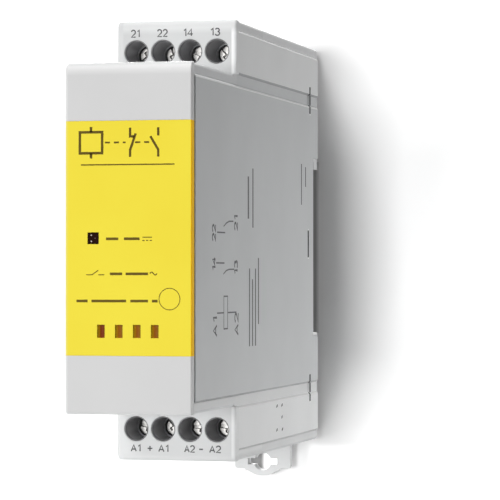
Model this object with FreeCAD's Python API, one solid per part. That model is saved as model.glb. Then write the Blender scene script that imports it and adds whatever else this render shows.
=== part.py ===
import FreeCAD, Part
import math
import os

# A force-guided relay module for a 35 mm mounting rail, in millimetres.
# x is to the right and y is to the back, seen from the front, and z is up.
# The origin is on the rail seat, at half the width, on the rail's centre line.

# Housing, with the fit between its pieces, how far its printed faces lie back and how far a
# cutter reaches past a face
module_width = 22.5
overall_depth = 100.0
hood_height = 60.4
block_height = 80.4
terminal_setback = 31.0
body_offset = 0.6
wall = 1.9
side_wall = 1.15
field_rise = 0.4
hood_edge_radius = 0.7
cover_rim = 0.6
cover_fit = 0.03
fit = 0.1
print_relief = 0.05
over = 1.0

# Rail recess, its fixed hook and the snap slots of the side cover
recess_depth = 4.4
recess_height = 35.2
hook_gap = 1.3
hook_drop = 1.6
seat_relief = 0.25
slot_width = 1.0
slot_height = 5.4
slot_rim = 0.6
slot_inset = 3.6
middle_slot_inset = 5.2
lug_clearance = 0.15
lug_drop = 0.5

# Front cover and face plate
skirt_depth = 1.9
skirt_wall = 0.5
front_wall = 1.2
front_gap = 1.0
spigot_wall = 0.8
spigot_root = 1.4
face_height = 40.3
web_thickness = 1.0
web_lap = 3.0
front_top_radius = 1.5
front_edge_radius = 0.5
front_side_radius = 0.2
window_size = 2.0
window_inset = 5.05
vent_width = 1.35
vent_height = 2.25
vent_pitch = 3.2
vent_count = 4
vent_drop = 15.95

# Terminals
pole_edge = 3.63
pole_height = 34.4
tunnel_radius = 2.1
collar_wall = 0.15
collar_setback = 0.1
screw_depth = 8.0
head_radius = 1.65
head_height = 2.0
head_clearance = 0.2
head_round = 0.2
head_slot = 0.65
head_slot_depth = 1.1
screw_turns = {"upper": [-40.0, 70.0, 25.0, 50.0], "lower": [-12.0, -55.0, 0.0, -9.0]}
shank_radius = 1.3
cage_width = 3.9
cage_wall = 0.5
cage_front = 1.5
cage_rear = 1.0
cage_height = 4.4
cage_travel = 2.5
cage_room = 0.5
cage_clearance = 0.2
thread_clearance = 0.05
tongue_thickness = 1.0
tongue_width = 2.3
tongue_clearance = 0.3
wire_gap = 3.0
wire_radius = 1.75
carrier_wall = 1.4
carrier_floor = 2.6
block_edge_radius = 1.2
block_side_radius = 0.5
tail_height = 1.6
tail_top = 24.5
tail_step = 2.6
tail_clearance = 0.1

# Circuit board and what it carries
board_gap = 0.5
board_thickness = 1.6
board_height = 54.0
board_front = 8.6
board_back = 9.0
boss_radius = 2.2
peg_radius = 1.2
boss_inset = 4.5
pin_rise = 0.3
pin_clearance = 0.1
pin_size = 0.8
led_depth = 2.4
led_height = 3.0
lens_clearance = 0.1
lens_recess = 0.15
capacitor_radius = 5.0
capacitor_length = 11.0
resistor_radius = 1.6
resistor_length = 9.0
diode_radius = 1.3
diode_length = 5.0
lead_radius = 0.35
lead_reach = 2.0
component_rise = 0.4
capacitor_drop = 13.0
resistor_height = 6.0
diode_height = 14.0

# Inner relay
relay_depth = 26.0
relay_height = 33.0
relay_centre = -29.0
relay_base_height = 1.5
relay_side_gap = 1.2
relay_wall = 0.7
coil_offset = 5.5
coil_length = 22.0
flange_width = 10.5
flange_thickness = 1.0
flange_top_room = 1.75
winding_radius = 4.9
bobbin_wall = 0.55
core_radius = 2.0
pole_cap_radius = 3.6
pole_cap_height = 1.0
core_fit = 0.04
iron_thickness = 1.5
iron_width = 9.0
yoke_clearance = 0.35
armature_thickness = 1.2
armature_clearance = 0.1
armature_reach = 13.0
armature_angle = 4.5
crank_length = 12.0
crank_thickness = 1.0
crank_clearance = 0.3
card_thickness = 1.2
card_drop = 2.5
card_clearance = 0.1
card_rim = 0.8
blade_thickness = 0.3
blade_width = 4.0
blade_top_room = 1.7
blade_offset = 7.0
blade_root = 0.05
no_blade_z = 3.0
nc_blade_z = -7.5
contact_radius = 1.1
contact_height = 0.5
contact_inset = 1.0
contact_clearance = 0.15

# Rail clip
clip_width = 11.7
clip_step = 1.0
clip_front = 1.5
clip_front_thickness = 1.4
clip_rear_thickness = 1.2
clip_clearance = 0.2
clip_nose = 1.6
clip_drop = 7.5
clip_ear_rise = 1.45
clip_tip_rise = 0.3
clip_corner = 0.6
clip_travel = 4.0
eye_radius = 1.8
eye_slot_length = 6.2
eye_slot_height = 1.3
eye_rise = 2.9
spring_radius = 1.3
spring_wire = 0.25
spring_closed = 8.0
spring_turns = 7
spring_top_drop = 4.4
stop_width = 3.2
stop_height = 2.0
stop_seat = 0.8

# Places worked out from the sizes above
V = FreeCAD.Vector
half = module_width / 2
skin = half - field_rise
print_x = half - print_relief
inner = half - side_wall
mid = body_offset
front_y = recess_depth - overall_depth
back_y = recess_depth
term_y = front_y + terminal_setback
skirt_y = front_y + skirt_depth
shell_y = skirt_y + front_gap
web_y = front_y + front_wall + web_thickness
window_x = window_inset - half
hood_top = mid + hood_height / 2
hood_bottom = mid - hood_height / 2
block_top = mid + block_height / 2
block_bottom = mid - block_height / 2
recess_half = recess_height / 2

pole_z = mid + pole_height
pole_names = {"upper": ["21", "22", "14", "13"], "lower": ["a1_left", "a1_right", "a2_left", "a2_right"]}
pole_count = len(pole_names["upper"])
pole_pitch = (module_width - 2 * pole_edge) / (pole_count - 1)
pole_x = [pole_edge - half + pole_pitch * i for i in range(pole_count)]
head_y = term_y + screw_depth
under_head_y = head_y + head_height
tunnel_end_y = head_y - head_clearance
chamber_y = under_head_y + cage_clearance
cage_y = under_head_y + cage_room + cage_travel
tongue_y = cage_y + cage_front + tongue_clearance
tongue_back_y = tongue_y + tongue_thickness
clamp_y = tongue_back_y + wire_gap
cage_back_y = clamp_y + cage_rear
wire_y = tongue_back_y + wire_gap / 2
carrier_y = term_y + wall
carrier_back_y = cage_back_y + tongue_clearance + carrier_wall
carrier_top = block_top - wall - fit
chamber_half = cage_height / 2 + tongue_clearance
carrier_bottom = pole_z - chamber_half - carrier_floor

board_x = -inner + board_gap
board_face = board_x + board_thickness
board_y0 = front_y + board_front
board_y1 = -board_back
board_top = mid + board_height / 2
pin_end = board_x - pin_rise
shoulder = max(carrier_bottom, board_top + tail_clearance)

base_x = board_face + relay_base_height
relay_top = inner - relay_side_gap
blade_length = relay_top - relay_wall - blade_top_room - base_x
contact_rise = blade_length - contact_inset
card_rise = contact_rise - card_drop
relay_y0 = relay_centre - relay_depth / 2
relay_y1 = relay_centre + relay_depth / 2
relay_z0 = mid - relay_height / 2
relay_z1 = mid + relay_height / 2
coil_y = relay_centre - coil_offset
coil_x = relay_top - relay_wall - flange_top_room - flange_width / 2
coil_z0 = mid - coil_length / 2
coil_z1 = mid + coil_length / 2
yoke_y = coil_y + flange_width / 2 + yoke_clearance
yoke_back_y = yoke_y + iron_thickness
yoke_z0 = coil_z0 - iron_thickness
pole_face_z = coil_z1 + pole_cap_height
pivot_y = yoke_back_y
pivot_z = pole_face_z + armature_clearance / 2
crank_y = pivot_y + crank_clearance
card_y = crank_y + crank_thickness + card_clearance
card_x = base_x + card_rise
blade_y = relay_centre + blade_offset
blade_ratio = crank_length / (card_rise + card_thickness / 2)
blade_angle = armature_angle * blade_ratio
contact_x = base_x + contact_rise
contact_travel = contact_rise * math.radians(blade_angle)

clip_back_y = clip_front + clip_front_thickness + clip_rear_thickness
clip_shoulder_y = clip_front + clip_front_thickness
clip_top = -recess_half + clip_nose
clip_bottom = block_bottom - clip_drop
spring_y = clip_front + (clip_back_y - clip_front) / 2
spring_length = spring_closed + clip_travel
spring_z1 = -recess_half - spring_top_drop
spring_z0 = spring_z1 - spring_length
stop_z0 = spring_z0 - stop_height


# Basic solids and helpers
def box(x0, x1, y0, y1, z0, z1):
    return Part.makeBox(x1 - x0, y1 - y0, z1 - z0, V(x0, y0, z0))


def rod(radius, start, direction, length):
    return Part.makeCylinder(radius, length, V(*start), V(*direction))


def joined(solids):
    shape = solids[0]
    for solid in solids[1:]:
        shape = shape.fuse(solid)
    return shape.removeSplitter()


def cut_all(shape, tools):
    for tool in tools:
        shape = shape.cut(tool)
    return shape


def edges_where(shape, test):
    return [edge for edge in shape.Edges if test(edge.BoundBox)]


def below(shape):
    """The same shape, mirrored to the lower half of the housing."""
    return shape.mirror(V(0, 0, mid), V(0, 0, 1))


def near(value, target):
    return abs(value - target) < 1e-6


def save(name, shape):
    shape.exportStep("parts/" + name + ".step")


# Outline of the side cover, as three overlapping blocks drawn in by a gap
def cover_outline(x0, x1, gap):
    inset = wall + gap
    back = back_y - cover_rim - gap
    seat = cover_rim + gap
    main = box(x0, x1, shell_y, -seat, hood_bottom + inset, hood_top - inset)
    upper = box(x0, x1, term_y + inset, back, recess_half + seat, block_top - inset)
    lower = box(x0, x1, term_y + inset, back, block_bottom + inset, -recess_half - seat)
    middle = box(x0, x1, term_y + inset, -seat, block_bottom + inset, block_top - inset)
    return joined([main, middle, upper, lower])


# Raised fields of a side, with a sloping flank along the upper and lower edge of each
def raised_field(y0, y1, z0, z1):
    plate = box(inner, print_x, y0, y1, z0, z1)
    long_edges = edges_where(plate, lambda b: near(b.XMin, print_x) and near(b.ZMin, b.ZMax))
    return plate.makeChamfer(print_x - skin, long_edges)


def side_fields(gap):
    back = back_y - cover_rim - gap
    front = term_y + wall + gap
    upper = raised_field(front, back, hood_top, block_top - wall - gap)
    lower = raised_field(front, back, block_bottom + wall + gap, hood_bottom)
    main = raised_field(shell_y, back, hood_bottom + wall + gap, hood_top - wall - gap)
    seat = cover_rim + gap
    recess = box(0, half + over, -seat, back_y, -recess_half - seat, recess_half + seat)
    return [upper, main.cut(recess), lower]


def snap_places():
    """Centre of each snap slot, as y and z."""
    upper = (-slot_inset, hood_top - wall / 2)
    lower = (-slot_inset, hood_bottom + wall / 2)
    return [upper, (-middle_slot_inset, mid), lower]


def snap_bar(place, x0, x1, gap):
    y, z = place
    w = slot_width / 2 - gap
    h = slot_height / 2 - gap
    return box(x0, x1, y - w, y + w, z - h, z + h)


def soft_box(y0, y1, z0, z1):
    """A box as wide as the strips, with its four long edges rounded."""
    solid = box(-skin, skin, y0, y1, z0, z1)
    return solid.makeFillet(hood_edge_radius, edges_where(solid, lambda b: near(b.YLength, y1 - y0)))


# Housing shell: the left side with all the outer walls, open to the right
def housing_shell():
    hood = soft_box(skirt_y, term_y + wall, hood_bottom, hood_top)
    body = soft_box(term_y, back_y, block_bottom, block_top)
    # The gap to the front cover shows beside the main field only
    gap = box(-half, half, skirt_y - over, shell_y, hood_bottom + wall, hood_top - wall)
    shell = joined([hood.cut(gap), body])
    left = [field.mirror(V(0, 0, 0), V(1, 0, 0)) for field in side_fields(0)]
    shell = joined([shell] + left)

    # Hollow inside, and the rebate that the side cover drops into
    floor_y = -wall
    open_x = skin + over
    rooms = [
        box(-inner, open_x, shell_y - over, floor_y, hood_bottom + wall, hood_top - wall),
        box(-inner, open_x, carrier_y, floor_y, block_bottom + wall, block_top - wall),
        box(-inner, open_x, carrier_y, back_y - wall, recess_half + wall, block_top - wall),
        cover_outline(inner, open_x, 0),
    ]
    shell = cut_all(shell, rooms)

    # The two terminal blocks bring their own front and outer walls
    for z0, z1 in ((hood_top, block_top), (block_bottom, hood_bottom)):
        shell = shell.cut(box(-half - over, open_x, term_y - over, carrier_y, z0, z1))
    for z0, z1 in ((block_top - wall, block_top + over), (block_bottom - over, block_bottom + wall)):
        shell = shell.cut(box(-half - over, open_x, term_y - over, carrier_back_y, z0, z1))

    # Rail recess with its fixed hook
    recess = box(-half - over, open_x, 0, back_y + over, -recess_half, recess_half)
    relief = recess.translated(V(0, -seat_relief, 0))
    flat = recess_half - hook_drop - seat_relief
    relief = relief.cut(box(-half - over, open_x, -seat_relief, back_y, -flat, flat))
    hook = box(-skin, skin, hook_gap, back_y, recess_half - hook_drop, recess_half + cover_rim)
    shell = joined([cut_all(shell, [recess, relief]), hook])

    # Channel for the rail clip, stepped so that the clip stays in it
    channel_half = clip_width / 2 + clip_clearance
    wide = box(
        -channel_half, channel_half,
        clip_front - clip_clearance, clip_shoulder_y + clip_clearance,
        block_bottom - over, -recess_half + over,
    )
    narrow = box(
        clip_step - channel_half, channel_half - clip_step,
        clip_front, back_y + over,
        block_bottom - over, -recess_half + over,
    )
    pocket_half = stop_width / 2
    pocket = box(
        -pocket_half, pocket_half,
        clip_front - clip_clearance - stop_seat, clip_front,
        stop_z0, spring_z0,
    )
    shell = cut_all(shell, [wide, narrow, pocket])

    # Spigot that carries the front cover, lugs for the side cover, board bosses
    added = [spigot().common(box(-half, inner, front_y, term_y, block_bottom, block_top))]
    for place in snap_places():
        added.append(snap_bar(place, -inner, half - lug_drop, lug_clearance))
    for y, z in boss_places():
        added.append(rod(boss_radius, (-inner, y, z), (1, 0, 0), board_gap))
        added.append(rod(peg_radius, (-inner, y, z), (1, 0, 0), board_gap + board_thickness + pin_rise))
    return joined([shell] + added)


def spigot():
    """The ring that reaches from the hood's walls into the back of the front cover."""
    inset = skirt_wall + fit
    y0 = front_y + front_wall + fit
    y1 = shell_y + spigot_root
    outer = box(inset - half, half - inset, y0, y1, hood_bottom + inset, hood_top - inset)
    inset += spigot_wall
    return outer.cut(box(inset - half, half - inset, y0, y1, hood_bottom + inset, hood_top - inset))


def boss_places():
    ys = (board_y0 + boss_inset, board_y1 - boss_inset)
    reach = board_height / 2 - boss_inset
    return [(y, z) for y in ys for z in (mid - reach, mid + reach)]


# Side cover: the right side, set into the shell
def side_cover():
    inset = wall + cover_fit
    rim = slot_width / 2 + slot_rim
    # The strips rise to the level of the fields round the upper and the lower slot
    pad = box(inner, print_x, -slot_inset - rim, rim - slot_inset, hood_top - inset, hood_top)
    front = edges_where(pad, lambda b: near(b.XMin, print_x) and near(b.YMax, -slot_inset - rim))
    pad = pad.makeChamfer(print_x - skin, front)
    plate = joined([cover_outline(inner, skin, cover_fit), pad, below(pad)] + side_fields(cover_fit))
    ring = spigot().common(box(inner, half, front_y, term_y, hood_bottom + inset, hood_top - inset))
    slots = [snap_bar(place, 0, half + over, 0) for place in snap_places()]
    return cut_all(joined([plate, ring]), slots)


# Front cap of the hood, from which the grey cover and the face plate are cut
def front_cap():
    cap = box(-half, half, front_y, skirt_y, hood_bottom, hood_top)
    top = edges_where(cap, lambda b: near(b.ZMin, hood_top) and near(b.YMax, front_y))
    cap = cap.makeFillet(front_top_radius, top)
    rim = edges_where(cap, lambda b: near(b.YMin, front_y) and b.ZMin < hood_top - front_top_radius / 2)
    rest = [edge for edge in rim if not near(edge.BoundBox.ZMin, hood_top - front_top_radius)]
    cap = cap.makeFillet(front_edge_radius, [edge for edge in rest if edge.BoundBox.XMin < 0])
    right = edges_where(cap, lambda b: near(b.XMin, half) and near(b.YMax, front_y))
    cap = cap.makeFillet(front_side_radius, right)
    hollow = box(
        skirt_wall - half, half - skirt_wall,
        front_y + front_wall, skirt_y,
        hood_bottom + skirt_wall, hood_top - skirt_wall,
    )
    return cap.cut(hollow)


def front_web():
    inset = skirt_wall + spigot_wall + 2 * fit
    reach = face_height / 2 + web_lap
    return box(inset - half, half - inset, front_y + front_wall, web_y, mid - reach, mid + reach)


def front_holes():
    """Cutters for the indicator window and the row of slots below it."""
    s = window_size / 2
    holes = [box(window_x - s, window_x + s, front_y - over, web_y, mid - s, mid + s)]
    for i in range(vent_count):
        x = vent_pitch * (i - (vent_count - 1) / 2)
        w = vent_width / 2
        z = mid - vent_drop
        holes.append(box(x - w, x + w, front_y - over, web_y, z - vent_height / 2, z + vent_height / 2))
    return holes


def face_zone():
    reach = face_height / 2
    return box(-half - over, half + over, front_y - over, shell_y, mid - reach, mid + reach)


def front_cover():
    return cut_all(joined([front_cap().cut(face_zone()), front_web()]), front_holes())


def face_plate():
    printed = face_zone().translated(V(0, front_y + print_relief - shell_y, 0))
    return cut_all(front_cap().common(face_zone()), front_holes() + [printed])


# Clear guide that brings the indicator's light to the window
def led_lens():
    s = window_size / 2 - lens_clearance
    return box(window_x - s, window_x + s, front_y + lens_recess, board_y0 - lens_clearance, mid - s, mid + s)


def on_block_side(b):
    """Whether an edge is one of the front corners at the left or right of a terminal block."""
    at_side = near(b.XMin, b.XMax) and near(abs(b.XMin), half)
    return at_side and b.YMin < carrier_y - fit and b.ZMax > hood_top + fit


# Grey terminal block: the front wall with the screw holes and the outer wall with the wire entries
def terminal_block():
    front = box(-half, half, term_y, carrier_y, hood_top, block_top)
    roof = box(-skin, skin, term_y, carrier_back_y - fit, block_top - wall, block_top)
    rims = edges_where(roof, lambda b: near(b.ZMin, block_top) and near(b.XMin, b.XMax))
    roof = roof.makeFillet(hood_edge_radius, rims)
    block = joined([front, roof])
    lip = edges_where(block, lambda b: near(b.ZMin, block_top) and near(b.YMax, term_y))
    block = block.makeFillet(block_edge_radius, lip)
    block = block.makeFillet(block_side_radius, edges_where(block, on_block_side))
    hole_radius = tunnel_radius + collar_wall + fit / 2
    for x in pole_x:
        hole = rod(hole_radius, (x, term_y - over, pole_z), (0, 1, 0), wall + 2 * over)
        entry = rod(wire_radius, (x, wire_y, block_top - wall - over), (0, 0, 1), wall + 2 * over)
        block = cut_all(block, [hole, entry])
    return block


# Dark carrier behind it: a tunnel, a chamber and a floor slot for each pole
def terminal_carrier():
    carrier = box(fit - inner, inner - fit, carrier_y, carrier_back_y, carrier_bottom, carrier_top)
    collars = []
    for x in pole_x:
        length = carrier_y - term_y - collar_setback
        start = (x, term_y + collar_setback, pole_z)
        collars.append(rod(tunnel_radius + collar_wall, start, (0, 1, 0), length))
    carrier = joined([carrier] + collars)
    for x in pole_x:
        tunnel = rod(tunnel_radius, (x, term_y, pole_z), (0, 1, 0), tunnel_end_y - term_y)
        head_room = rod(
            head_radius + head_clearance,
            (x, tunnel_end_y, pole_z), (0, 1, 0), chamber_y - tunnel_end_y,
        )
        room = cage_width / 2 + cage_clearance
        chamber = box(
            x - room, x + room,
            chamber_y, cage_back_y + tongue_clearance,
            pole_z - chamber_half, pole_z + chamber_half,
        )
        entry = rod(wire_radius, (x, wire_y, pole_z), (0, 0, 1), block_top - pole_z)
        grip = tongue_width / 2 + tail_clearance
        slot = box(
            x - grip, x + grip,
            tongue_y - tail_clearance, tongue_back_y + tail_clearance,
            carrier_bottom - over, pole_z,
        )
        carrier = cut_all(carrier, [tunnel, head_room, chamber, entry, slot])
    return carrier


# Clamp screw with a slotted cross head
def clamp_screw(number, turn):
    x = pole_x[number]
    head = rod(head_radius, (x, head_y, pole_z), (0, 1, 0), head_height)
    rim = edges_where(head, lambda b: near(b.YMin, head_y) and near(b.YMax, head_y))
    head = head.makeFillet(head_round, rim)
    length = tongue_y - thread_clearance - under_head_y
    screw = joined([head, rod(shank_radius, (x, under_head_y, pole_z), (0, 1, 0), length)])
    w = head_slot / 2
    slot = box(x - head_radius, x + head_radius, head_y, head_y + head_slot_depth, pole_z - w, pole_z + w)
    reach = head_radius - head_slot
    cross = box(x - w, x + w, head_y, head_y + head_slot_depth, pole_z - reach, pole_z + reach)
    screw = screw.cut(joined([slot, cross]))
    # Each screw was left at another angle
    screw.rotate(V(x, head_y, pole_z), V(0, 1, 0), turn)
    return screw


# Rising cage that draws the wire up against the tongue
def clamp_cage(x):
    w = cage_width / 2
    h = cage_height / 2
    cage = box(x - w, x + w, cage_y, cage_back_y, pole_z - h, pole_z + h)
    w -= cage_wall
    mouth = box(x - w, x + w, cage_y + cage_front, clamp_y, pole_z - h, pole_z + h)
    thread = rod(shank_radius + thread_clearance, (x, cage_y, pole_z), (0, 1, 0), cage_front)
    return cut_all(cage, [mouth, thread])


# Current bar from the clamp to the board: a flat tongue, a tail and a solder leg
def clamp_tongue(number):
    x = pole_x[number]
    w = tongue_width / 2
    level = mid + tail_top - number * tail_step
    left = max(x - w, board_face + tail_clearance)
    flat = box(x - w, x + w, tongue_y, tongue_back_y, shoulder, pole_z + cage_height / 2)
    tail = box(left, x + w, tongue_y, tongue_back_y, level, shoulder)
    leg = box(pin_end, x + w, tongue_y, tongue_back_y, level, level + tail_height)
    return joined([flat, tail, leg])


def leg_holes():
    """Board slots for the solder legs of one row of terminals."""
    c = tail_clearance
    holes = []
    for number in range(pole_count):
        z = mid + tail_top - number * tail_step
        holes.append(box(-half, board_face, tongue_y - c, tongue_back_y + c, z - c, z + tail_height + c))
    return holes


# Circuit board on the left wall
def relay_pin_places():
    """The y and z of the two coil pins and the feet of the two moving blades."""
    spread = flange_width / 2 - pin_size
    coil = [(coil_y - spread, coil_z0 - pin_size), (coil_y + spread, coil_z0 - pin_size)]
    return coil + [(blade_y, mid + no_blade_z), (blade_y, mid + nc_blade_z)]


def fixed_foot_places():
    return [(fixed_blade_y(kind), mid + blade_z(kind)) for kind in ("no", "nc")]


def pin(y, z, x0, x1, gap):
    s = pin_size / 2 + gap
    return box(x0, x1, y - s, y + s, z - s, z + s)


def pin_holes(x0, x1):
    return [pin(y, z, x0, x1, pin_clearance) for y, z in relay_pin_places() + fixed_foot_places()]


def circuit_board():
    board = box(board_x, board_face, board_y0, board_y1, board_top - board_height, board_top)
    holes = leg_holes() + [below(hole) for hole in leg_holes()] + pin_holes(-half, board_face)
    for y, z in boss_places():
        holes.append(rod(peg_radius + fit, (-half, y, z), (1, 0, 0), half))
    for y, z in lead_places():
        holes.append(rod(lead_radius + fit, (-half, y, z), (1, 0, 0), half))
    return cut_all(board, holes)


# Parts on the board
def component_rows():
    """Centre of each wired part on the board, as y and z."""
    y = board_y0 + (tongue_y - board_y0) / 2
    heights = {"capacitor": -capacitor_drop, "resistor": resistor_height, "diode": diode_height}
    return {kind: (y, mid + height) for kind, height in heights.items()}


def lead_spread(kind):
    lengths = {"capacitor": capacitor_radius, "resistor": resistor_length, "diode": diode_length}
    return lengths[kind] / 2 + (0 if kind == "capacitor" else lead_reach)


def lead_places():
    places = []
    for kind, (y, z) in component_rows().items():
        places += [(y - lead_spread(kind), z), (y + lead_spread(kind), z)]
    return places


def smoothing_capacitor():
    y, z = component_rows()["capacitor"]
    can = rod(capacitor_radius, (board_face, y, z), (1, 0, 0), capacitor_length)
    rim = edges_where(can, lambda b: near(b.XMin, board_face + capacitor_length))
    can = can.makeFillet(component_rise, rim)
    s = lead_spread("capacitor")
    leads = [rod(lead_radius, (pin_end, y + d, z), (1, 0, 0), board_face - pin_end) for d in (-s, s)]
    return joined([can] + leads)


def axial_part(kind, radius, length):
    y, z = component_rows()[kind]
    x = board_face + component_rise + radius
    s = lead_spread(kind)
    body = rod(radius, (x, y - length / 2, z), (0, 1, 0), length)
    wire = rod(lead_radius, (x, y - s, z), (0, 1, 0), 2 * s)
    legs = [rod(lead_radius, (pin_end, y + d, z), (1, 0, 0), x - pin_end) for d in (-s, s)]
    knees = [Part.makeSphere(lead_radius, V(x, y + d, z)) for d in (-s, s)]
    return joined([body, wire] + legs + knees)


def indicator_led():
    x1 = window_x + window_size / 2
    h = led_height / 2
    return box(board_face, x1, board_y0, board_y0 + led_depth, mid - h, mid + h)


# Inner relay: base, cover and solder pins
def card_posts():
    """Two posts that the actuator card rides on."""
    top = card_x - card_clearance
    z = mid + no_blade_z
    near_crank = box(base_x, top, card_y + card_rim, blade_y - 2 * card_rim, z - card_rim, z + card_rim)
    z = mid + nc_blade_z - blade_width / 2 - card_rim
    past_blade = box(base_x, top, blade_y - card_rim, blade_y + card_rim, z - card_rim, z)
    return [near_crank, past_blade]


def relay_base():
    plate = box(board_face, base_x, relay_y0, relay_y1, relay_z0, relay_z1)
    return joined([cut_all(plate, pin_holes(board_face, base_x))] + card_posts())


def relay_cover():
    w = relay_wall
    outer = box(base_x, relay_top, relay_y0, relay_y1, relay_z0, relay_z1)
    rim = edges_where(outer, lambda b: b.XMin > base_x + 1e-6 or b.XLength > relay_wall)
    outer = outer.makeFillet(w / 2, rim)
    return outer.cut(box(base_x, relay_top - w, relay_y0 + w, relay_y1 - w, relay_z0 + w, relay_z1 - w))


def relay_pins():
    """Coil pins up to the bobbin's flange, and the feet of the moving blades."""
    pins = [pin(y, z, pin_end, base_x, 0) for y, z in relay_pin_places()]
    return Part.makeCompound(pins)


# Magnet: bobbin, winding, core and yoke
def coil_bobbin():
    w = flange_width / 2
    t = flange_thickness
    flanges = [
        box(base_x, coil_x + w, coil_y - w, coil_y + w, z, z + t)
        for z in (coil_z0, coil_z1 - t)
    ]
    tube = rod(core_radius + core_fit + bobbin_wall, (coil_x, coil_y, coil_z0), (0, 0, 1), coil_length)
    bore = rod(core_radius + core_fit, (coil_x, coil_y, coil_z0 - over), (0, 0, 1), coil_length + 2 * over)
    return joined(flanges + [tube]).cut(bore)


def coil_winding():
    z0 = coil_z0 + flange_thickness
    length = coil_length - 2 * flange_thickness
    outer = rod(winding_radius, (coil_x, coil_y, z0), (0, 0, 1), length)
    return outer.cut(rod(core_radius + core_fit + bobbin_wall, (coil_x, coil_y, z0), (0, 0, 1), length))


def coil_core():
    shaft = rod(core_radius, (coil_x, coil_y, yoke_z0), (0, 0, 1), coil_z1 - yoke_z0)
    return joined([shaft, rod(pole_cap_radius, (coil_x, coil_y, coil_z1), (0, 0, 1), pole_cap_height)])


def yoke():
    w = iron_width / 2
    foot = box(coil_x - w, coil_x + w, coil_y - w, yoke_back_y, yoke_z0, coil_z0)
    post = box(coil_x - w, coil_x + w, yoke_y, yoke_back_y, yoke_z0, pole_face_z)
    hole = rod(core_radius + core_fit, (coil_x, coil_y, yoke_z0 - over), (0, 0, 1), iron_thickness + 2 * over)
    return joined([foot, post]).cut(hole)


# Armature at rest: a bell crank on the yoke's top edge, tilted up from the pole
def armature():
    w = iron_width / 2
    under = pivot_z + armature_clearance / 2
    plate = box(
        coil_x - w, coil_x + w,
        crank_y + crank_thickness - armature_reach, crank_y + crank_thickness,
        under, under + armature_thickness,
    )
    plate.rotate(V(coil_x, pivot_y, pivot_z), V(1, 0, 0), -armature_angle)
    crank = box(
        coil_x - w, coil_x + w,
        crank_y, crank_y + crank_thickness,
        pivot_z - crank_length, under + armature_thickness / 2,
    )
    return joined([plate, crank])


# Card that carries the crank's stroke to both moving blades, so that they can't part
def actuator_card():
    x0, x1 = card_x, card_x + card_thickness
    reach = blade_thickness / 2 + card_clearance
    end_y = blade_y + reach + card_rim
    arm = blade_width / 2 + card_rim
    bar = box(x0, x1, card_y, end_y, mid + no_blade_z - arm, mid + no_blade_z + arm)
    cross_z = mid + nc_blade_z - arm - card_rim
    cross = box(x0, x1, blade_y - reach - card_rim, end_y, cross_z, mid + no_blade_z)
    slots = []
    for kind in ("no", "nc"):
        w = blade_width / 2 + card_clearance
        z = mid + blade_z(kind)
        slots.append(box(x0, x1, blade_y - reach, blade_y + reach, z - w, z + w))
    return cut_all(joined([bar, cross]), slots)


# Contact blades: the moving ones stand in the card, the fixed ones beside them
def blade_z(kind):
    return {"no": no_blade_z, "nc": nc_blade_z}[kind]


def fixed_blade_y(kind):
    """A fixed blade stands behind the open contact, and in front of the closed one."""
    stack = blade_thickness + 2 * contact_height + contact_clearance
    return blade_y + (stack + contact_travel if kind == "no" else -stack)


def blade(y, z, root):
    t = blade_thickness / 2
    w = blade_width / 2
    return box(root, base_x + blade_length, y - t, y + t, z - w, z + w)


def moving_blade(kind):
    return blade(blade_y, mid + blade_z(kind), base_x + blade_root)


def fixed_blade(kind):
    y = fixed_blade_y(kind)
    z = mid + blade_z(kind)
    return joined([blade(y, z, base_x), pin(y, z, pin_end, base_x, 0)])


def contact(y, z, direction):
    start = y + direction * blade_thickness / 2
    return rod(contact_radius, (contact_x, start, mid + z), (0, direction, 0), contact_height)


def moving_contact(kind):
    return contact(blade_y, blade_z(kind), 1 if kind == "no" else -1)


def fixed_contact(kind):
    return contact(fixed_blade_y(kind), blade_z(kind), -1 if kind == "no" else 1)


# Rail clip: a stepped plate with a nose at the top and an eye in its pull tab
def clip_outline(w, y0, y1):
    """A plate with rounded ears, and between them the tab that tapers to the width of the eye."""
    ear_z = clip_bottom + clip_ear_rise
    tip_z = clip_bottom + clip_tip_rise
    plate = box(-w, w, y0, y1, ear_z, clip_top)
    ears = edges_where(plate, lambda b: near(b.ZMax, ear_z) and near(b.XMin, b.XMax))
    plate = plate.makeFillet(clip_corner, ears)
    tab = clip_width / 3
    corners = [(-eye_radius, tip_z), (-tab, ear_z), (tab, ear_z), (eye_radius, tip_z)]
    points = [V(x, y0, z) for x, z in corners]
    edges = [Part.LineSegment(a, b).toShape() for a, b in zip(points, points[1:])]
    edges.append(Part.Arc(points[-1], V(0, y0, clip_bottom), points[0]).toShape())
    return joined([plate, Part.Face(Part.Wire(edges)).extrude(V(0, y1 - y0, 0))])


def rail_clip():
    plate = joined([
        clip_outline(clip_width / 2, clip_front, clip_shoulder_y),
        clip_outline(clip_width / 2 - clip_step, clip_shoulder_y, clip_back_y),
    ])
    w = stop_width / 2 + clip_clearance
    window = box(-w, w, clip_front - over, clip_back_y + over, stop_z0 - clip_clearance, spring_z1)
    eye_z = clip_bottom + eye_rise
    eye = rod(eye_radius, (0, clip_front - over, eye_z), (0, 1, 0), clip_back_y - clip_front + 2 * over)
    s = eye_slot_length / 2
    h = eye_slot_height / 2
    slot = box(-s, s, clip_front - over, clip_back_y + over, eye_z - h, eye_z + h)
    return cut_all(plate, [window, eye, slot])


# Spring that holds the clip up, and the stop that it stands on
def clip_spring():
    radius = spring_radius - spring_wire
    rise = spring_length - 2 * spring_wire
    helix = Part.makeHelix(rise / spring_turns, rise, radius)
    section = Part.Wire(Part.makeCircle(spring_wire, V(radius, 0, 0), V(0, 1, 0)))
    coil = Part.Wire(helix.Edges).makePipeShell([section], True, True)
    coil.translate(V(0, spring_y, spring_z0 + spring_wire))
    return coil


def spring_stop():
    w = stop_width / 2
    return box(-w, w, clip_front - clip_clearance - stop_seat, clip_back_y, stop_z0, spring_z0)


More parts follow.
